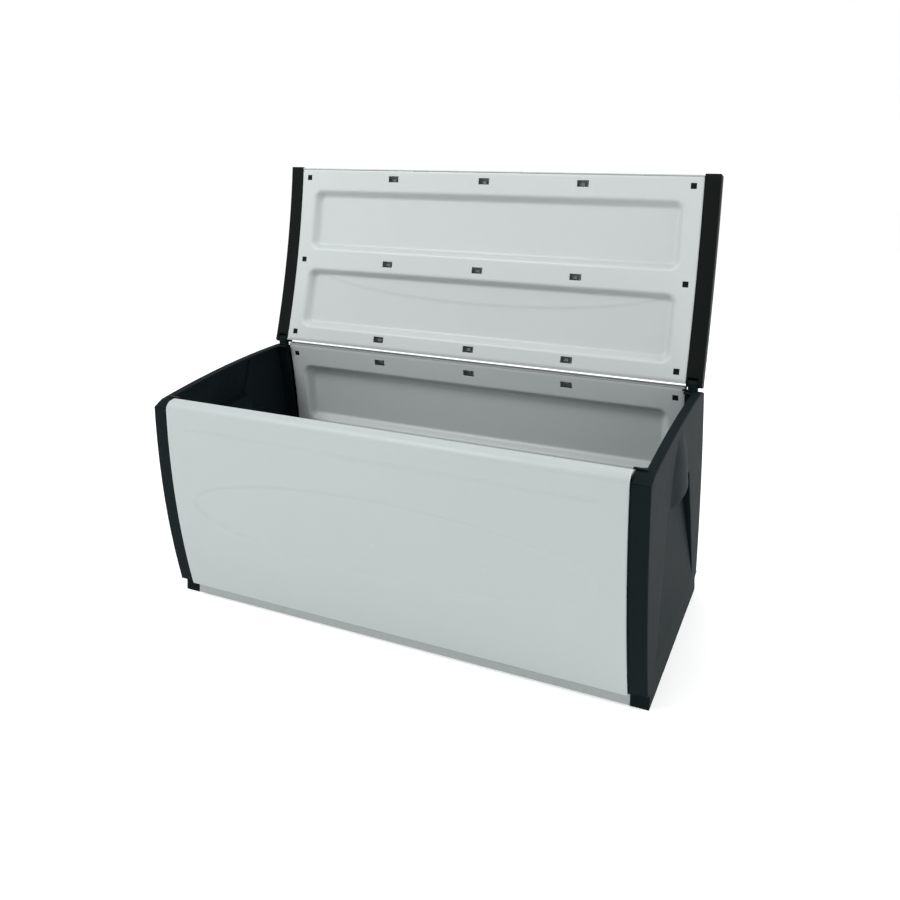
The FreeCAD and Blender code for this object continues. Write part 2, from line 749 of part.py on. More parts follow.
def main():
    doc = FreeCAD.newDocument("deck_storage_box")
    add_sheet(doc)
    across, along = (1, 0, 0), (0, 1, 0)
    right_end = make_end_panel(doc)
    back = make_skin(doc, "back_panel", WALL)
    back_liner = make_liner(doc, "back_liner", WALL)
    lid = make_skin(doc, "lid_panel", LID)
    lid_liner = make_liner(doc, "lid_liner", LID)
    for item in (lid, lid_liner):
        stand_open(item)
    rail = make_rail(doc)
    pin = make_pin(doc)
    nodes = [
        right_end,
        mirrored(doc, "left_end_panel", right_end, across),
        back,
        back_liner,
        mirrored(doc, "front_panel", back, along),
        mirrored(doc, "front_liner", back_liner, along),
        make_floor(doc),
        make_corner_clips(doc),
        lid,
        lid_liner,
        rail,
        mirrored(doc, "left_lid_rail", rail, across),
        pin,
        mirrored(doc, "left_hinge_pin", pin, across),
    ]
    doc.recompute()
    check(doc, nodes)
    os.makedirs("parts", exist_ok=True)
    for node in nodes:
        node.Shape.exportStep(f"parts/{node.Label}.step")


main()
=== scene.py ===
"""Looks for the deck storage box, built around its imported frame.

The walls and the lid are bowed, embossed skins over liners with soft pans. The end panels have a scoop under
a hooded grip, and the rails, pins, clips and floor are copies of their nodes with rounded edges.
"""

import json
import math

import bmesh
import bpy
import numpy as np
from mathutils import Matrix, Vector


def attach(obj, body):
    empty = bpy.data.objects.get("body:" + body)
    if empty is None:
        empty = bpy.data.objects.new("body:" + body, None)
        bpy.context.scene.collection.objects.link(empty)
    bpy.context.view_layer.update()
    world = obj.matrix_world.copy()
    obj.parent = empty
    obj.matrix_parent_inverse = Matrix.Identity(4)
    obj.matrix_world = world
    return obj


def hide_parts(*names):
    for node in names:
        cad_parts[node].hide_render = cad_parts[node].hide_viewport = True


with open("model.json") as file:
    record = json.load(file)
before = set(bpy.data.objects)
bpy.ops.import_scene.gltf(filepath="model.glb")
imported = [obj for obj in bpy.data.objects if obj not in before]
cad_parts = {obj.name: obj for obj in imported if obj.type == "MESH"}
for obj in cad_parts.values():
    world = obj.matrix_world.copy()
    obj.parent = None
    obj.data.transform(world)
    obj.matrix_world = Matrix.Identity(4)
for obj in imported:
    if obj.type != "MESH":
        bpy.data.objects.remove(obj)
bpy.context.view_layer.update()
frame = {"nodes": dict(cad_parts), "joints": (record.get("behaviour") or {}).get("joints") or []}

MM = 0.001
SIDES = (-1, 1)

# Shapes are in millimetres. A wall's height runs up from the ground, and the lid's from its hinge.

# Sheets: their thickness, the liners' pans, with the share of their depth that counts as their floor, and the
# hook slots and snap windows cut through the liners.
SKIN = 3.0
LINER = 2.5
PAN_DEPTH = 20.0
PAN_SLOPE = 19.0
PAN_CORNER = 26.0
PAN_HALF = 521.0
PAN_FLOOR = 0.9
SLOT_PITCH = 267.0
SLOT_HALF = (15.0, 8.0)
TAB_PLACE = 537.5
TAB_HALF = 7.0
COLUMNS = (-1, 0, 1)

# A wall's bow is an arc: its reach and radius, and the height of its middle. Depth runs from the face to the
# liner, a lens is the height of its middle and its half height, and rows and pans are heights.
WALL = {
    "reach": 274.5,
    "radius": 1904.5,
    "middle": 320.0,
    "depth": 30.0,
    "half": 559.5,
    "base": 36.0,
    "top": 528.0,
    "roll": 22.0,
    "rows": (60.0, 270.0, 498.0),
    "pans": ((84.0, 246.0), (296.0, 466.0)),
    "lens": (282.0, 95.0),
    "groove": 468.0,
    "liner_lens": None,
}
LID = {
    "reach": 31.4,
    "radius": 2362.0,
    "middle": 240.0,
    "depth": 28.0,
    "half": 561.5,
    "base": -2.0,
    "top": 487.0,
    "roll": 8.0,
    "rows": (24.0, 230.0, 461.0),
    "pans": ((40.0, 208.0), (260.0, 429.0)),
    "lens": (240.0, 95.0),
    "groove": None,
    "liner_lens": (216.0, 73.0),
}

# Embossing on the skins, and the share of it that shows through on the lid's liner.
LENS_HALF = 497.0
LENS_DEPTH = 2.4
EMBOSS_WIDTH = 3.4
GROOVE_HALF = 500.0
GROOVE_DEPTH = 1.9
LENS_SHOW = 0.6

# Edges of the sheets: a skin's turned ends and lower corner, and a liner's play and turned edge.
SKIN_TURN = 3.0
SKIN_CORNER = 4.0
SHEET_BEVEL = 0.6
SHEET_ANGLE = 50
LINER_BEVEL = 0.5
LINER_PLAY = 0.3
LINER_TURN = 1.5
LINER_TURN_WIDTH = 4.0

# Hooks behind the slots: where they start, their share of a slot's half size, their taper and their depths.
HOOK_START = 1.5
HOOK_SHARE = (0.5, 0.62)
HOOK_TAPER = 1.2
HOOK_LAP = 1.0
HOOK_CLEAR = 17.0

# Grid spacing up a sheet and across it, and the share of a spacing that stays clear beside a marked line.
FINE = 3.5
COARSE = 5.0
MARK_ROOM = 0.3

# End panel: its bow, outer face, rim and top ledge, foot, shoulders and crowned top.
END = {"reach": 270.0, "radius": 1900.0, "middle": 320.0}
FACE = 600.0
RIM_END = 560.0
LEDGE_END = 580.0
LEDGE_REACH = 214.0
FOOT = (235.0, 229.0)
FOOT_TOP = 40.0
CREASE = 511.0
SHOULDER = (234.0, 522.0)
CROWN_RADIUS = 3046.0
END_ROUND = 3.0
RIM_TURN = 2.0
TOP_START = 505.0
SHELL_BEVEL = 0.8
SHELL_ANGLE = 55

# Its handle: the scoop, and the hood over it as heights, half widths and rises, with a grip behind the hood.
SCOOP = {"low": 66.0, "high": 378.0, "depth": 22.0, "low_half": 190.0, "high_half": 108.0}
SCOOP_WALL = 4.0
HOOD = ((378.0, 76.0, 13.8), (448.0, 61.0, 9.0), (505.0, 23.0, 1.2), (512.0, 8.0, 0.0))
HOOD_SKIRT = 1.18
GRIP_HALF = 62.0
GRIP_TOP = 428.0
GRIP_WALL = 3.0
LIP_DROP = 1.2
GRIP_LEVELS = ("grip_back", "grip_roof", "grip_front", "lip")

# Copies of nodes: how far an end panel's copy lies under its shell, what counts as one point or one plane,
# and the angle and the segments of their rounded edges.
UNDER_SHELL = 0.4
SHELL_SLACK = 0.5
WELD = 0.02
PLANE_ANGLE = 0.4
COPY_ANGLE = 28
COPY_SEGMENTS = 3

HINGE = Vector(frame["joints"][0]["pos_m"]) / MM
LID_LEAN = math.radians(18)

# Moulded plastics by material slot. Grain is a noise scale, and its depth and the sinks' are in millimetres.
PLASTICS = {
    "end_black": {
        "color": (0.0058, 0.0100, 0.0110),
        "roughness": 0.60,
        "sway": 0.012,
        "specular": 0.035,
        "grain": 650.0,
        "grain_depth": 0.04,
        "sink_depth": 0.008,
        "mottle": 0.02,
    },
    "rail_black": {
        "color": (0.0028, 0.0048, 0.0042),
        "roughness": 0.56,
        "sway": 0.015,
        "specular": 0.07,
        "grain": 800.0,
        "grain_depth": 0.04,
        "sink_depth": 0.008,
        "mottle": 0.03,
    },
    "pin_black": {
        "color": (0.0035, 0.0045, 0.0045),
        "roughness": 0.45,
        "sway": 0.02,
        "specular": 0.10,
        "grain": 1100.0,
        "grain_depth": 0.03,
        "sink_depth": 0.01,
        "mottle": 0.03,
    },
    "panel_grey": {"color": (0.385, 0.423, 0.418), "roughness": 0.46, "mottle": 0.008},
    "liner_grey": {"color": (0.455, 0.490, 0.484), "roughness": 0.42, "mottle": 0.008},
    "floor_grey": {"color": (0.36, 0.395, 0.390), "roughness": 0.48, "mottle": 0.010},
}
CLOUD_SCALE = 4.0
FLOW_SCALE = 30.0

# Studio, in metres and watts: each light's place, aim, size and power.
LIGHTS = {
    "key": ((-1.6, -1.9, 3.9), (0, 0, 0.3), (1.5, 1.3), 118),
    "side": ((3.6, 0.7, 1.7), (0.6, 0, 0.3), (1.6, 1.6), 85),
    "top": ((0.4, 1.2, 3.6), (0, 0.1, 0.3), (2.6, 1.8), 40),
}
HORIZON = (1.0, 1.0, 1.0, 1)
OVERHEAD = (0.35, 0.35, 0.36, 1)
FLOOR_HALF = 30
FLOOR_WHITE = 0.93
FLOOR_GLOW = (0.24, 0.50)
GLOW_DISTANCE = (3.0, 7.5)
CAMERA = {
    "place": (0.9402, -1.7466, 1.2678),
    "yaw": 25.21,
    "pitch": 16.16,
    "roll": 2.09,
    "lens": 35.65,
    "sensor": 36,
    "shift": (-0.021, -0.14),
}


# ---------------------------------------------------------------- materials


def node(tree, kind, **values):
    """Adds a shader node; values name its inputs, with underscores for spaces, or else its properties."""
    made = tree.nodes.new(kind)
    for name, value in values.items():
        socket = made.inputs.get(name.replace("_", " "))
        if socket is not None:
            socket.default_value = value
        else:
            setattr(made, name, value)
    return made


def noise(tree, coordinates, scale, detail=4.0, roughness=0.55):
    """Noise fixed to the object, as a factor socket."""
    made = node(tree, "ShaderNodeTexNoise", Scale=scale, Detail=detail, Roughness=roughness)
    tree.links.new(coordinates.outputs["Object"], made.inputs["Vector"])
    return made.outputs["Fac"]


def remap(tree, source, start, end, low, high):
    """Maps a value between start and end onto low to high."""
    made = node(tree, "ShaderNodeMapRange")
    for name, value in (("From Min", start), ("From Max", end), ("To Min", low), ("To Max", high)):
        made.inputs[name].default_value = value
    tree.links.new(source, made.inputs["Value"])
    return made.outputs[0]


def mixed(tree, factor, first, second):
    """Mix of two colours, or of a colour and a colour socket, by a factor socket."""
    made = node(tree, "ShaderNodeMix", data_type="RGBA")
    tree.links.new(factor, made.inputs[0])
    for slot, value in ((6, first), (7, second)):
        if isinstance(value, tuple):
            made.inputs[slot].default_value = value
        else:
            tree.links.new(value, made.inputs[slot])
    return made.outputs[2]


def shade(color, factor):
    """Colour made lighter or darker by a factor, with its alpha."""
    return (*(min(1.0, channel * factor) for channel in color), 1.0)


def moulded_plastic(name, color, roughness, mottle, grain=900.0, grain_depth=0.05, specular=0.4,
                    sink_depth=0.2, sway=0.05):
    """Polypropylene with fine grain, slow flow clouds, small flecks, a faint bloom and lighter worn edges."""
    material = bpy.data.materials.new(name)
    material.use_nodes = True
    tree = material.node_tree
    tree.nodes.clear()
    output = node(tree, "ShaderNodeOutputMaterial")
    surface = node(tree, "ShaderNodeBsdfPrincipled")
    surface.inputs["Specular IOR Level"].default_value = specular
    tree.links.new(surface.outputs[0], output.inputs["Surface"])
    coordinates = node(tree, "ShaderNodeTexCoord")
    clouds = noise(tree, coordinates, CLOUD_SCALE, 3.0)
    flow = noise(tree, coordinates, FLOW_SCALE, 4.0)
    fine = noise(tree, coordinates, grain, 2.0, 0.7)
    cloudy = remap(tree, clouds, 0.3, 0.7, 0, 1)
    base = mixed(tree, cloudy, shade(color, 1 - mottle), shade(color, 1 + mottle))
    flecked = mixed(tree, remap(tree, fine, 0.45, 0.7, 0, 0.5), base, shade(color, 1 - 3 * mottle))
    bloom = mixed(tree, remap(tree, flow, 0.5, 0.75, 0, 0.35), flecked, shade(color, 1 + 3 * mottle))
    edges = node(tree, "ShaderNodeNewGeometry").outputs["Pointiness"]
    worn = mixed(tree, remap(tree, edges, 0.52, 0.62, 0, 0.5), bloom, shade(color, 1 + 12 * mottle))
    tree.links.new(worn, surface.inputs["Base Color"])
    swaying = remap(tree, flow, 0.3, 0.7, roughness - sway, roughness + sway)
    tree.links.new(swaying, surface.inputs["Roughness"])
    bump = node(tree, "ShaderNodeBump", Strength=0.5, Distance=grain_depth * MM)
    tree.links.new(fine, bump.inputs["Height"])
    sink = node(tree, "ShaderNodeBump", Strength=0.3, Distance=sink_depth * MM)
    tree.links.new(flow, sink.inputs["Height"])
    tree.links.new(bump.outputs[0], sink.inputs["Normal"])
    tree.links.new(sink.outputs[0], surface.inputs["Normal"])
    return material


def make_materials():
    """One moulded plastic for each of the record's material slots."""
    return {slot: moulded_plastic(slot, **look) for slot, look in PLASTICS.items()}


# ---------------------------------------------------------------- sheets


def bow(shape, height, inset=0):
    """Reach of a bowed surface at a height, moved in by an inset."""
    radius = shape["radius"] - inset
    return shape["reach"] - shape["radius"] + np.sqrt(radius**2 - (height - shape["middle"]) ** 2)


def steps(low, high, spacing, marks=()):
    """Even grid lines from low to high, with the marks among them and no line too close to a mark."""
    lines = np.linspace(low, high, max(2, round((high - low) / spacing) + 1))
    marks = np.array([low, high, *marks])
    clear = np.abs(lines[:, None] - marks[None, :]).min(1) > spacing * MARK_ROOM
    return np.unique(np.concatenate([lines[clear], marks]))


def smooth_step(value):
    """Smooth rise from 0 to 1."""
    value = np.clip(value, 0, 1)
    return value * value * (3 - 2 * value)


def lens_recess(lens, across, height):
    """Depth of the shallow lens pressed into a panel, with a soft edge of even width."""
    centre, half_height = lens
    u, v = across / LENS_HALF, (height - centre) / half_height
    radius = np.maximum(np.hypot(u, v), 1e-6)
    slope = np.hypot(u / LENS_HALF, v / half_height) / radius
    outside = (radius - 1) / np.maximum(slope, 1e-9)
    return LENS_DEPTH * smooth_step(0.5 - outside / (2 * EMBOSS_WIDTH))


def groove_recess(line, across, height):
    """Depth of the thin groove along a panel, which fades out past its ends."""
    beyond = np.maximum(np.abs(across) - GROOVE_HALF, 0)
    return GROOVE_DEPTH * np.exp(-((height - line) ** 2 + beyond**2) / EMBOSS_WIDTH**2 * 2)


def closed_sheet(face, back, keep):
    """Vertices and quads of the slab between two grids of points, with walls around every quad left out."""
    across, along = keep.shape
    number = np.arange((across + 1) * (along + 1)).reshape(across + 1, along + 1)
    under = number + number.size
    corners = (number[:-1, :-1], number[1:, :-1], number[1:, 1:], number[:-1, 1:])
    below = (under[:-1, :-1], under[:-1, 1:], under[1:, 1:], under[1:, :-1])
    quads = [np.stack([grid[keep] for grid in group], 1) for group in (corners, below)]
    padded = np.pad(keep, 1)
    neighbours = (padded[1:-1, :-2], padded[2:, 1:-1], padded[1:-1, 2:], padded[:-2, 1:-1])
    for side, neighbour in enumerate(neighbours):
        open_side = keep & ~neighbour
        first, second = corners[side][open_side], corners[(side + 1) % 4][open_side]
        quads.append(np.stack([second, first, first + number.size, second + number.size], 1))
    points = np.concatenate([face.reshape(-1, 3), back.reshape(-1, 3)])
    quads = np.concatenate(quads)
    used, packed = np.unique(quads, return_inverse=True)
    return points[used], packed.reshape(-1, 4)


def hook_points(across, height, near, far):
    """Small tapered hook between two insets: its eight corners and six sides."""
    half_x, half_z = (half * share for half, share in zip(SLOT_HALF, HOOK_SHARE))
    left = across - SLOT_HALF[0] + HOOK_START
    corners = []
    for inset, taper in ((near, 0.0), (far, HOOK_TAPER)):
        for x, z in ((0, -1), (2, -1), (2, 1), (0, 1)):
            corners.append((left + x * half_x + (1 - x) * taper, inset, height + z * (half_z - taper)))
    sides = [(0, 3, 2, 1), (4, 5, 6, 7), (0, 1, 5, 4), (1, 2, 6, 5), (2, 3, 7, 6), (3, 0, 4, 7)]
    return np.array(corners), sides


def stand(points, place):
    """Moves points from a wall's or the lid's own frame into the box's frame, in metres."""
    points = np.array(points, float)
    if place == "front":
        points[:, 1] *= -1
    elif place == "lid":
        y, z = points[:, 1].copy(), points[:, 2].copy()
        points[:, 1] = HINGE.y + y * math.cos(LID_LEAN) + z * math.sin(LID_LEAN)
        points[:, 2] = HINGE.z - y * math.sin(LID_LEAN) + z * math.cos(LID_LEAN)
    return points * MM


def add_sheet(name, points, sides, body, node_name, slot, bevel):
    """Adds a sheet's points and sides as a piece, with its normals facing out."""
    mesh = bpy.data.meshes.new(name)
    mesh.from_pydata(points.tolist(), [], [tuple(side) for side in sides])
    shell = bmesh.new()
    shell.from_mesh(mesh)
    bmesh.ops.recalc_face_normals(shell, faces=shell.faces)
    shell.to_mesh(mesh)
    shell.free()
    add_piece(name, mesh, body, node_name, slot, bevel, SHEET_ANGLE)


def add_piece(name, mesh, body, node_name, slot, width, angle, segments=2):
    """Adds a mesh as a piece that stands for a node, with its material and a bevel on every sharp edge."""
    mesh.materials.clear()
    mesh.materials.append(materials[slot])
    mesh.shade_smooth()
    piece = bpy.data.objects.new(name, mesh)
    bpy.context.scene.collection.objects.link(piece)
    bevel = piece.modifiers.new("edges", "BEVEL")
    bevel.width = width * MM
    bevel.segments = segments
    bevel.limit_method = "ANGLE"
    bevel.angle_limit = math.radians(angle)
    bevel.use_clamp_overlap = False
    bevel.harden_normals = True
    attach(piece, body)
    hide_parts(node_name)


def skin_profile(shape):
    """Outer line of a skin, from its lower lip over the bow and the roll: reach, height, normal, bow mask."""
    low, high, roll = shape["base"], shape["top"], shape["roll"]
    corner = SKIN_CORNER
    heel = bow(shape, low + corner) - corner
    crest = bow(shape, high - roll)
    parts = []
    for y in np.linspace(bow(shape, low, shape["depth"]), heel, 5)[:-1]:
        parts.append((y, low, 0, -1, 0))
    for angle in np.linspace(-math.pi / 2, 0, 5)[:-1]:
        parts.append((heel + corner * math.cos(angle), low + corner * (1 + math.sin(angle)),
                      math.cos(angle), math.sin(angle), 0))
    for z in steps(low + corner, high - roll, FINE)[:-1]:
        lean = (z - shape["middle"]) / shape["radius"]
        parts.append((bow(shape, z), z, math.sqrt(1 - lean**2), lean, 1))
    for angle in np.linspace(0, math.pi / 2, 9)[:-1]:
        parts.append((crest - roll + roll * math.cos(angle), high - roll + roll * math.sin(angle),
                      math.cos(angle), math.sin(angle), 0))
    for y in np.linspace(crest - roll, bow(shape, high, shape["depth"]), 4):
        parts.append((y, high, 0, 1, 0))
    return np.array(parts)


def make_skin(name, shape, place, body, node_name):
    """Outer panel: a bowed skin with turned-in lips, an embossed lens and groove, and hooks behind it."""
    line = skin_profile(shape)
    flat_half = shape["half"] - SKIN_TURN
    near_end = shape["half"] - SKIN_TURN * (1 - np.sin(np.linspace(0, math.pi / 2, 6)))
    xs = steps(-flat_half, flat_half, COARSE)
    xs = np.unique(np.round(np.concatenate([-near_end, xs, near_end]), 4))
    x, y = np.meshgrid(xs, line[:, 0], indexing="ij")
    z, normal_y, normal_z, bowed = (np.broadcast_to(line[:, k], x.shape) for k in (1, 2, 3, 4))
    recess = lens_recess(shape["lens"], x, z)
    if shape["groove"]:
        recess = recess + groove_recess(shape["groove"], x, z)
    recess = recess * bowed
    inner = np.maximum(np.abs(x) - shape["half"] + SKIN_TURN, 0) / SKIN_TURN
    rounding = (SKIN_TURN - SHEET_BEVEL) * (1 - np.sqrt(np.maximum(1 - inner**2, 0)))
    face = np.stack([x, y - (recess + rounding) * normal_y, z - (recess + rounding) * normal_z], 2)
    depth = SKIN + recess
    back = np.stack([x, y - depth * normal_y, z - depth * normal_z], 2)
    points, quads = closed_sheet(face, back, np.ones((len(xs) - 1, len(line) - 1), bool))
    sides = [tuple(quad) for quad in quads.tolist()]
    for row in shape["rows"]:
        for column in COLUMNS:
            near, far = SKIN - HOOK_LAP, shape["depth"] - HOOK_CLEAR
            corners, block = hook_points(column * SLOT_PITCH, row, near, far)
            corners[:, 1] = bow(shape, corners[:, 2]) - corners[:, 1]
            sides += [tuple(index + len(points) for index in side) for side in block]
            points = np.concatenate([points, corners])
    add_sheet(name, stand(points, place), sides, body, node_name, "panel_grey", SHEET_BEVEL)


def pan_depth(shape, across, height):
    """Depth of the soft-sided pans pressed into a liner, and of the lens mark in the lower one."""
    depth = np.zeros_like(across)
    for low, high in shape["pans"]:
        reach_x = np.abs(across) - (PAN_HALF - PAN_CORNER)
        reach_z = np.abs(height - (low + high) / 2) - ((high - low) / 2 - PAN_CORNER)
        outside = np.hypot(np.maximum(reach_x, 0), np.maximum(reach_z, 0))
        inside = PAN_CORNER - outside - np.minimum(np.maximum(reach_x, reach_z), 0)
        depth = depth + PAN_DEPTH * smooth_step(inside / PAN_SLOPE)
    if shape["liner_lens"]:
        in_lower_pan = (depth > PAN_DEPTH * PAN_FLOOR) & (height < shape["pans"][0][1])
        depth = depth - LENS_SHOW * lens_recess(shape["liner_lens"], across, height) * in_lower_pan
    return depth


def make_liner(name, shape, place, body, node_name):
    """Inner sheet: flat bands with hook slots and snap windows around two soft pans."""
    low, high = shape["base"] + SKIN + LINER_PLAY, shape["top"] - SKIN - LINER_PLAY
    half = shape["half"] - LINER_PLAY
    holes = [(column * SLOT_PITCH, row, *SLOT_HALF) for row in shape["rows"] for column in COLUMNS]
    holes += [(side * TAB_PLACE, row, TAB_HALF, TAB_HALF) for row in shape["rows"] for side in SIDES]
    marks_x = sorted({x + side * half_x for x, z, half_x, half_z in holes for side in SIDES})
    marks_z = sorted({z + side * half_z for x, z, half_x, half_z in holes for side in SIDES})
    xs, zs = steps(-half, half, COARSE, marks_x), steps(low, high, FINE, marks_z)
    x, z = np.meshgrid(xs, zs, indexing="ij")
    inset = shape["depth"] - pan_depth(shape, x, z)
    edge = np.minimum(half - np.abs(x), np.minimum(z - low, high - z))
    lip = LINER_TURN * (1 - smooth_step(edge / LINER_TURN_WIDTH))
    face = np.stack([x, bow(shape, z) - inset + lip, z], 2)
    back = np.stack([x, bow(shape, z) - inset + LINER, z], 2)
    middle_x, middle_z = np.meshgrid((xs[1:] + xs[:-1]) / 2, (zs[1:] + zs[:-1]) / 2, indexing="ij")
    keep = np.ones(middle_x.shape, bool)
    for centre_x, centre_z, half_x, half_z in holes:
        keep &= (np.abs(middle_x - centre_x) > half_x) | (np.abs(middle_z - centre_z) > half_z)
    points, quads = closed_sheet(face, back, keep)
    add_sheet(name, stand(points, place), quads.tolist(), body, node_name, "liner_grey", LINER_BEVEL)


# ---------------------------------------------------------------- end panels


def end_reach(height):
    """Half width of the end panel's face at a height, foot and shoulder included."""
    foot = FOOT[0] + (FOOT[1] - FOOT[0]) * height / FOOT_TOP
    return np.where(height < FOOT_TOP, foot, bow(END, np.clip(height, FOOT_TOP, CREASE)))


def end_top(across):
    """Height of the crowned top edge at a place across the panel."""
    across = np.abs(across)
    centre = SHOULDER[1] - math.sqrt(CROWN_RADIUS**2 - SHOULDER[0] ** 2)
    crown = centre + np.sqrt(CROWN_RADIUS**2 - across**2)
    corner = bow(END, CREASE)
    slope = SHOULDER[1] + (CREASE - SHOULDER[1]) * (across - SHOULDER[0]) / (corner - SHOULDER[0])
    return np.where(across < SHOULDER[0], crown, slope)


def hood_rise(across, height):
    """How far the hood over the handle stands proud: a soft ridge that dies out upwards."""
    heights = [level[0] for level in HOOD]
    half = np.interp(height, heights, [level[1] for level in HOOD]) * HOOD_SKIRT
    rise = np.interp(height, heights, [level[2] for level in HOOD])
    part = np.clip(np.abs(across) / half, 0, 1) ** 2
    return rise * (1 - part) ** 1.5 * (1 + 0.5 * part)


def scoop_half(height):
    """Half width of the scoop, which widens downwards."""
    return np.interp(height, (SCOOP["low"], SCOOP["high"]), (SCOOP["low_half"], SCOOP["high_half"]))


def scoop_depth(height):
    """Depth of the scoop, which fades out downwards."""
    return SCOOP["depth"] * np.clip((height - SCOOP["low"]) / (SCOOP["high"] - SCOOP["low"]), 0, 1)


def end_columns():
    """Column stations across the panel: kind of strip, how far along it, and side."""
    strips = (("grip", 20), ("scoop", 16), ("wall", 7), ("flank", 24))
    right = [(kind, part) for kind, count in strips for part in np.linspace(0, 1, count + 1)[1:]]
    right += [("rim", part) for part in np.sin(np.linspace(0, math.pi / 2, 6))[1:]]
    left_half = [(*station, -1) for station in reversed(right)]
    return left_half + [("grip", 0.0, 1)] + [(*station, 1) for station in right]


def end_rows():
    """Row stations: up the face and the scoop, into the grip and back down to the lip, then over the hood."""
    rows = [("face", z) for z in steps(0, FOOT_TOP, 5)] + [("face", FOOT_TOP + 0.01)]
    rows += [("face", z) for z in steps(FOOT_TOP, SCOOP["low"], 5)[1:]]
    rows += [("scoop", z) for z in steps(SCOOP["low"], SCOOP["high"], 4)[1:]]
    for kind, count in zip(GRIP_LEVELS, (8, 4, 8, 6)):
        rows += [(kind, part) for part in np.linspace(0, 1, count + 1)[1:]]
    rows += [("hood", z) for z in steps(SCOOP["high"], TOP_START, 4)[1:]]
    rows += [("top", part) for part in np.linspace(0, 1, 4)[1:]]
    return rows + [("crest", part) for part in np.sin(np.linspace(0, math.pi / 2, 6))[1:]]


def end_place(kind, part, height):
    """Distance of a column from the panel's middle at a height."""
    edge, reach = float(scoop_half(height)), float(end_reach(height))
    if kind == "grip":
        return GRIP_HALF * part
    if kind == "scoop":
        return GRIP_HALF + (edge - GRIP_HALF) * part
    if kind == "wall":
        return edge + SCOOP_WALL * part
    if kind == "flank":
        return edge + SCOOP_WALL + (reach - END_ROUND - edge - SCOOP_WALL) * part
    return reach - END_ROUND * (1 - part)


def rounded(distance):
    """Drop of a quarter-round edge at a distance in from it."""
    inside = max(END_ROUND - distance, 0)
    return END_ROUND - math.sqrt(END_ROUND**2 - min(inside, END_ROUND) ** 2)


def crown_point(level, value, kind, part):
    """Reach, distance across and height on the rows that round the crowned top edge over."""
    share = value if level == "top" else 1
    across = end_place(kind, part, TOP_START + share * (CREASE - TOP_START))
    top = float(end_top(across))
    if level == "top":
        height = TOP_START + (top - END_ROUND - TOP_START) * value
    else:
        height = top - END_ROUND * (1 - value)
    drop = max(rounded(top - height), rounded(float(end_reach(height)) - across))
    return FACE - drop + float(hood_rise(across, height)), across, height


def grip_point(level, value, across):
    """Reach and height inside the grip: up its back, along its roof, down its front and over the lip."""
    lip, deep = SCOOP["high"], SCOOP["depth"]
    roof_front = float(hood_rise(across, GRIP_TOP)) - GRIP_WALL
    lip_front = float(hood_rise(across, lip)) - GRIP_WALL
    if level == "grip_back":
        return FACE - deep, lip + (GRIP_TOP - lip) * value
    if level == "grip_roof":
        return FACE - deep + (deep + roof_front) * value, GRIP_TOP
    if level == "grip_front":
        return FACE + roof_front + (lip_front - roof_front) * value, GRIP_TOP + (lip - GRIP_TOP) * value
    return FACE + lip_front + GRIP_WALL * value, lip - LIP_DROP * math.sin(math.pi * value)


def scoop_share(kind, part):
    """Share of the scoop's depth that a column has: all of it inside, and none past its side wall."""
    if kind in ("grip", "scoop"):
        return 1.0
    return 1 - float(smooth_step(part)) if kind == "wall" else 0.0


def end_point(row, column):
    """Point of the end panel's outer face for one row and one column."""
    (level, value), (kind, part, side) = row, column
    if level in ("top", "crest"):
        reach, across, height = crown_point(level, value, kind, part)
        return reach, side * across, height
    height = SCOOP["high"] if level in GRIP_LEVELS else value
    across = end_place(kind, part, height)
    face = FACE - (rounded(float(end_reach(height)) - across) if height > FOOT_TOP else 0)
    if level == "face":
        return face, side * across, height
    if level == "hood":
        return face + float(hood_rise(across, height)), side * across, height
    if level == "scoop":
        return face - float(scoop_depth(height)) * scoop_share(kind, part), side * across, height
    if kind == "grip":
        reach, height = grip_point(level, value, across)
        return reach, side * across, height
    travelled = (GRIP_LEVELS.index(level) + value) / len(GRIP_LEVELS)
    sunk = SCOOP["depth"] * scoop_share(kind, part) * (1 - travelled)
    return face - sunk + float(hood_rise(across, height)) * travelled, side * across, height


def draw_rim(shell):
    """Extrudes the face's edge back along X in two steps to where the rim stops, and then turns it in."""
    edges = [edge for edge in shell.edges if edge.is_boundary]
    for part in (0.5, 1.0, None):
        grown = bmesh.ops.extrude_edge_only(shell, edges=edges)["geom"]
        edges = [item for item in grown if isinstance(item, bmesh.types.BMEdge)]
        for vert in (item for item in grown if isinstance(item, bmesh.types.BMVert)):
            x, y, z = vert.co / MM
            stop = LEDGE_END if z > TOP_START and abs(y) < LEDGE_REACH else RIM_END
            if part is None:
                turned = y * (1 - RIM_TURN / END["reach"])
                vert.co = Vector((stop, turned, z - RIM_TURN * (z > FOOT_TOP))) * MM
            elif part == 1.0:
                vert.co.x = stop * MM
            else:
                vert.co.x = (FACE - END_ROUND + (stop - FACE + END_ROUND) * part) * MM


def make_end_shell(name, sign, node_name):
    """Outer skin of an end panel: face, scoop, hooded grip and rim, with moulded radii on every edge."""
    rows, columns = end_rows(), end_columns()
    points = [end_point(row, column) for row in rows for column in columns]
    wide = len(columns)
    corners = [r * wide + c for r in range(len(rows) - 1) for c in range(wide - 1)]
    quads = [(first, first + 1, first + 1 + wide, first + wide) for first in corners]
    mesh = bpy.data.meshes.new(name)
    mesh.from_pydata([tuple(value * MM for value in point) for point in points], [], quads)
    shell = bmesh.new()
    shell.from_mesh(mesh)
    bmesh.ops.remove_doubles(shell, verts=shell.verts, dist=WELD * MM)
    bmesh.ops.dissolve_degenerate(shell, edges=shell.edges, dist=WELD * MM)
    draw_rim(shell)
    for vert in shell.verts:
        vert.co.x *= sign
    bmesh.ops.recalc_face_normals(shell, faces=shell.faces)
    shell.to_mesh(mesh)
    shell.free()
    add_piece(name, mesh, "box", node_name, "end_black", SHELL_BEVEL, SHELL_ANGLE)


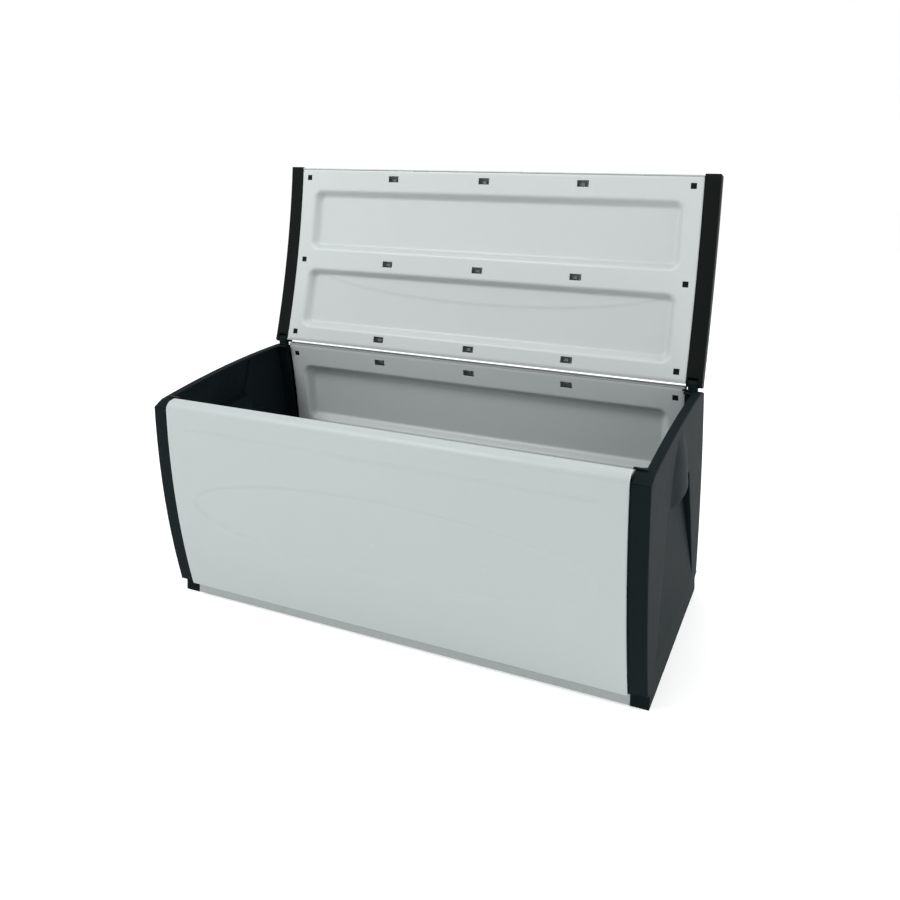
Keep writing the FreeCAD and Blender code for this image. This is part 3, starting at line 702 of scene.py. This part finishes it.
# ---------------------------------------------------------------- softened mouldings


def hidden_by_shell(face):
    """True for a face of the end panel's own grip, which the outer shell stands in for."""
    x, y, z = face.calc_center_median() / MM
    low, high = SCOOP["high"] - GRIP_WALL, HOOD[-1][0]
    inside_hood = abs(y) < HOOD[0][1] + SHELL_SLACK and low < z < high
    return inside_hood and abs(x) > FACE - SCOOP["depth"] - SHELL_SLACK


def soften(node_name, body, slot, width, under_shell=False):
    """Copy of a moulding with its flat faces joined up and its edges rounded."""
    mesh = frame["nodes"][node_name].data.copy()
    shell = bmesh.new()
    shell.from_mesh(mesh)
    bmesh.ops.remove_doubles(shell, verts=shell.verts, dist=WELD * MM)
    if under_shell:
        shell.normal_update()
        for vert, normal in [(vert, vert.normal.copy()) for vert in shell.verts]:
            vert.co -= normal * UNDER_SHELL * MM
        bmesh.ops.delete(shell, geom=[face for face in shell.faces if hidden_by_shell(face)], context="FACES")
    flat = math.radians(PLANE_ANGLE)
    bmesh.ops.dissolve_limit(shell, angle_limit=flat, verts=shell.verts, edges=shell.edges)
    shell.to_mesh(mesh)
    shell.free()
    add_piece(f"{node_name}_moulding", mesh, body, node_name, slot, width, COPY_ANGLE, COPY_SEGMENTS)


# ---------------------------------------------------------------- studio


def area_light(name, place, aim, size, power):
    """Adds a rectangular light that faces its aim."""
    data = bpy.data.lights.new(name, "AREA")
    data.shape = "RECTANGLE"
    data.size, data.size_y = size
    data.energy = power
    light = bpy.data.objects.new(name, data)
    light.location = place
    light.rotation_euler = (Vector(aim) - Vector(place)).to_track_quat("-Z", "Y").to_euler()
    bpy.context.scene.collection.objects.link(light)


def make_world():
    """Plain sky, white at the horizon and grey overhead."""
    world = bpy.data.worlds.new("studio")
    world.use_nodes = True
    tree = world.node_tree
    background = tree.nodes["Background"]
    direction = node(tree, "ShaderNodeTexCoord")
    parts = node(tree, "ShaderNodeSeparateXYZ")
    tree.links.new(direction.outputs["Generated"], parts.inputs[0])
    overhead = remap(tree, parts.outputs[2], 0.30, 0.75, 0, 1)
    tree.links.new(mixed(tree, overhead, HORIZON, OVERHEAD), background.inputs[0])
    background.inputs[1].default_value = 1.0
    bpy.context.scene.world = world


def make_floor():
    """White floor that glows more with distance, so that it meets the sky without a grey band."""
    mesh = bpy.data.meshes.new("studio_floor")
    corners = [(x * FLOOR_HALF, y * FLOOR_HALF, 0) for x, y in ((-1, -1), (1, -1), (1, 1), (-1, 1))]
    mesh.from_pydata(corners, [], [(0, 1, 2, 3)])
    floor = bpy.data.objects.new("studio_floor", mesh)
    bpy.context.scene.collection.objects.link(floor)
    material = bpy.data.materials.new("floor_white")
    material.use_nodes = True
    tree = material.node_tree
    surface = tree.nodes["Principled BSDF"]
    surface.inputs["Base Color"].default_value = shade((1, 1, 1), FLOOR_WHITE)
    surface.inputs["Roughness"].default_value = 0.9
    surface.inputs["Emission Color"].default_value = (1, 1, 1, 1)
    place = node(tree, "ShaderNodeTexCoord")
    distance = node(tree, "ShaderNodeVectorMath", operation="LENGTH")
    tree.links.new(place.outputs["Object"], distance.inputs[0])
    glow = remap(tree, distance.outputs["Value"], *GLOW_DISTANCE, *FLOOR_GLOW)
    tree.links.new(glow, surface.inputs["Emission Strength"])
    mesh.materials.append(material)


def make_studio():
    """Sky, soft lights and floor, shown with plain colours."""
    make_world()
    bpy.context.scene.view_settings.view_transform = "Standard"
    for name, light in LIGHTS.items():
        area_light(name, *light)
    make_floor()


def make_camera():
    """Camera at the photograph's viewing angle, with a part of its lens shift."""
    data = bpy.data.cameras.new("camera")
    camera = bpy.data.objects.new("camera", data)
    bpy.context.scene.collection.objects.link(camera)
    data.sensor_width = CAMERA["sensor"]
    data.lens = CAMERA["lens"]
    data.shift_x, data.shift_y = CAMERA["shift"]
    yaw, pitch, roll = (math.radians(CAMERA[turn]) for turn in ("yaw", "pitch", "roll"))
    upright = Matrix.Rotation(yaw, 4, "Z") @ Matrix.Rotation(math.pi / 2 - pitch, 4, "X")
    camera.rotation_mode = "QUATERNION"
    camera.rotation_quaternion = (upright @ Matrix.Rotation(-roll, 4, "Z")).to_quaternion()
    camera.location = CAMERA["place"]
    bpy.context.scene.camera = camera


# ---------------------------------------------------------------- main

materials = make_materials()
make_skin("front_skin", WALL, "front", "box", "front_panel")
make_skin("back_skin", WALL, "back", "box", "back_panel")
make_skin("lid_skin", LID, "lid", "lid", "lid_panel")
make_liner("front_lining", WALL, "front", "box", "front_liner")
make_liner("back_lining", WALL, "back", "box", "back_liner")
make_liner("lid_lining", LID, "lid", "lid", "lid_liner")
soften("floor_panel", "box", "floor_grey", 1.0)
soften("corner_clips", "box", "pin_black", 0.6)
for side in ("left", "right"):
    soften(f"{side}_end_panel", "box", "end_black", 0.3, under_shell=True)
    make_end_shell(f"{side}_end_shell", 1 if side == "right" else -1, f"{side}_end_panel")
    soften(f"{side}_lid_rail", "lid", "rail_black", 0.9)
    soften(f"{side}_hinge_pin", "lid", "pin_black", 0.5)
make_studio()
make_camera()
